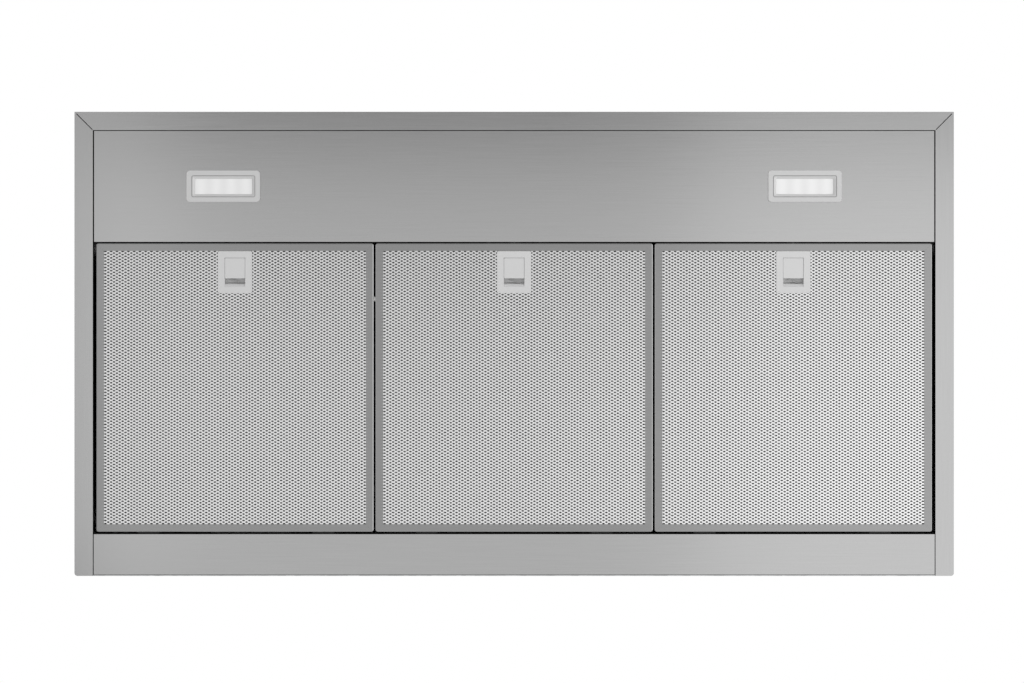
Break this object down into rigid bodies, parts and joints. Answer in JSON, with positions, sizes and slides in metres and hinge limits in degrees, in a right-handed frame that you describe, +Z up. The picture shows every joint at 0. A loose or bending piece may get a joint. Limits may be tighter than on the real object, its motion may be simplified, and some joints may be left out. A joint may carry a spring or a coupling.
{
  "type": "wall mount range hood",
  "caption": "Pyramid wall range hood in brushed stainless steel, with framed mesh grease filters on latches, LED lamps, a push-button blower and a telescopic chimney.",
  "frame": {"origin": "on the wall plane at mid-width, level with the underside of the rim", "axes": "+X to the right seen from the room, -Y out into the room, +Z up; the wall is the plane Y = 0"},
  "size_m": [0.9, 0.475, 0.6868],
  "materials": {
    "stainless": "brushed stainless steel",
    "stainless_frame": "bright-rolled stainless filter frame",
    "filter_aluminium": "expanded aluminium mesh",
    "zinc_sheet": "zinc-coated sheet steel",
    "grey_plastic": "light grey moulded plastic",
    "pale_plastic": "satin silver moulded plastic",
    "white_nylon": "white nylon",
    "black_plastic": "black moulded plastic",
    "frosted_lens": "frosted polycarbonate",
    "circuit_board": "circuit board laminate",
    "cast_aluminium": "pressed aluminium",
    "spring_steel": "bright spring steel",
    "steel": "bright steel",
    "motor_steel": "black-painted motor shell",
    "bushing_rubber": "black rubber",
    "capacitor_plastic": "white capacitor can"
  },
  "bodies": {
    "hood": {"canopy_skin": "stainless", "light_panel": "stainless", "rear_rail": "stainless", "lower_chimney": "stainless", "back_panel": "zinc_sheet", "top_plate": "zinc_sheet", "canopy_screws": "steel", "control_housing": "black_plastic", "control_board": "circuit_board", "blower_scroll": "zinc_sheet", "blower_cover": "zinc_sheet", "motor": "motor_steel", "motor_bracket": "zinc_sheet", "blower_screws": "steel", "duct_collar": "black_plastic", "damper_rod": "steel", "cover_screws": "steel", "wiring_box": "zinc_sheet", "wiring_box_cover": "zinc_sheet", "cable_bushing": "bushing_rubber", "motor_capacitor": "capacitor_plastic", "light_bezel_left": "pale_plastic", "light_lens_left": "frosted_lens", "light_board_left": "circuit_board", "light_housing_left": "cast_aluminium", "light_bezel_right": "pale_plastic", "light_lens_right": "frosted_lens", "light_board_right": "circuit_board", "light_housing_right": "cast_aluminium"},
    "impeller": {"impeller": "zinc_sheet", "motor_shaft": "steel"},
    "damper_front": {"damper_flap_front": "cast_aluminium"},
    "damper_rear": {"damper_flap_rear": "cast_aluminium"},
    "upper_chimney": {"upper_chimney": "stainless", "chimney_bracket": "zinc_sheet", "bracket_screws": "steel"},
    "filter_left": {"filter_frame_left": "stainless_frame", "filter_mesh_left": "filter_aluminium", "filter_hooks_left": "stainless_frame", "latch_housing_left": "grey_plastic"},
    "latch_left": {"latch_slider_left": "grey_plastic", "latch_spring_left": "spring_steel"},
    "filter_middle": {"filter_frame_middle": "stainless_frame", "filter_mesh_middle": "filter_aluminium", "filter_hooks_middle": "stainless_frame", "latch_housing_middle": "grey_plastic", "filter_bumper": "white_nylon"},
    "latch_middle": {"latch_slider_middle": "grey_plastic", "latch_spring_middle": "spring_steel"},
    "filter_right": {"filter_frame_right": "stainless_frame", "filter_mesh_right": "filter_aluminium", "filter_hooks_right": "stainless_frame", "latch_housing_right": "grey_plastic"},
    "latch_right": {"latch_slider_right": "grey_plastic", "latch_spring_right": "spring_steel"},
    "button_power": {"button_power": "stainless"},
    "button_low": {"button_low": "stainless"},
    "button_medium": {"button_medium": "stainless"},
    "button_high": {"button_high": "stainless"},
    "button_light": {"button_light": "stainless"}
  },
  "joints": [
    {"name": "filter_left_swing", "type": "hinge", "parent": "hood", "child": "filter_left", "pos_m": [-0.28587, -0.0468, 0.0023], "axis": [1, 0, 0], "range_deg": [0, 85]},
    {"name": "latch_left_pull", "type": "slide", "parent": "filter_left", "child": "latch_left", "axis": [0, 1, 0], "range_m": [0, 0.005], "stiffness_N_per_m": 300, "springref_m": -0.004, "deforming": ["latch_spring_left"]},
    {"name": "filter_middle_swing", "type": "hinge", "parent": "hood", "child": "filter_middle", "pos_m": [0, -0.0468, 0.0023], "axis": [1, 0, 0], "range_deg": [0, 85]},
    {"name": "latch_middle_pull", "type": "slide", "parent": "filter_middle", "child": "latch_middle", "axis": [0, 1, 0], "range_m": [0, 0.005], "stiffness_N_per_m": 300, "springref_m": -0.004, "deforming": ["latch_spring_middle"]},
    {"name": "filter_right_swing", "type": "hinge", "parent": "hood", "child": "filter_right", "pos_m": [0.28587, -0.0468, 0.0023], "axis": [1, 0, 0], "range_deg": [0, 85]},
    {"name": "latch_right_pull", "type": "slide", "parent": "filter_right", "child": "latch_right", "axis": [0, 1, 0], "range_m": [0, 0.005], "stiffness_N_per_m": 300, "springref_m": -0.004, "deforming": ["latch_spring_right"]},
    {"name": "button_power_push", "type": "slide", "parent": "hood", "child": "button_power", "axis": [0, 1, 0], "range_m": [0, 0.0015], "stiffness_N_per_m": 600, "springref_m": -0.001},
    {"name": "button_low_push", "type": "slide", "parent": "hood", "child": "button_low", "axis": [0, 1, 0], "range_m": [0, 0.0015], "stiffness_N_per_m": 600, "springref_m": -0.001},
    {"name": "button_medium_push", "type": "slide", "parent": "hood", "child": "button_medium", "axis": [0, 1, 0], "range_m": [0, 0.0015], "stiffness_N_per_m": 600, "springref_m": -0.001},
    {"name": "button_high_push", "type": "slide", "parent": "hood", "child": "button_high", "axis": [0, 1, 0], "range_m": [0, 0.0015], "stiffness_N_per_m": 600, "springref_m": -0.001},
    {"name": "button_light_push", "type": "slide", "parent": "hood", "child": "button_light", "axis": [0, 1, 0], "range_m": [0, 0.0015], "stiffness_N_per_m": 600, "springref_m": -0.001},
    {"name": "impeller_spin", "type": "hinge", "parent": "hood", "child": "impeller", "pos_m": [0, -0.18, 0.118], "axis": [1, 0, 0], "continuous": true},
    {"name": "damper_front_swing", "type": "hinge", "parent": "hood", "child": "damper_front", "pos_m": [0, -0.135, 0.2872], "axis": [-1, 0, 0], "range_deg": [0, 75]},
    {"name": "damper_rear_swing", "type": "hinge", "parent": "hood", "child": "damper_rear", "pos_m": [0, -0.135, 0.2872], "axis": [1, 0, 0], "range_deg": [0, 75]},
    {"name": "upper_chimney_slide", "type": "slide", "parent": "hood", "child": "upper_chimney", "axis": [0, 0, 1], "range_m": [0, 0.3]}
  ]
}
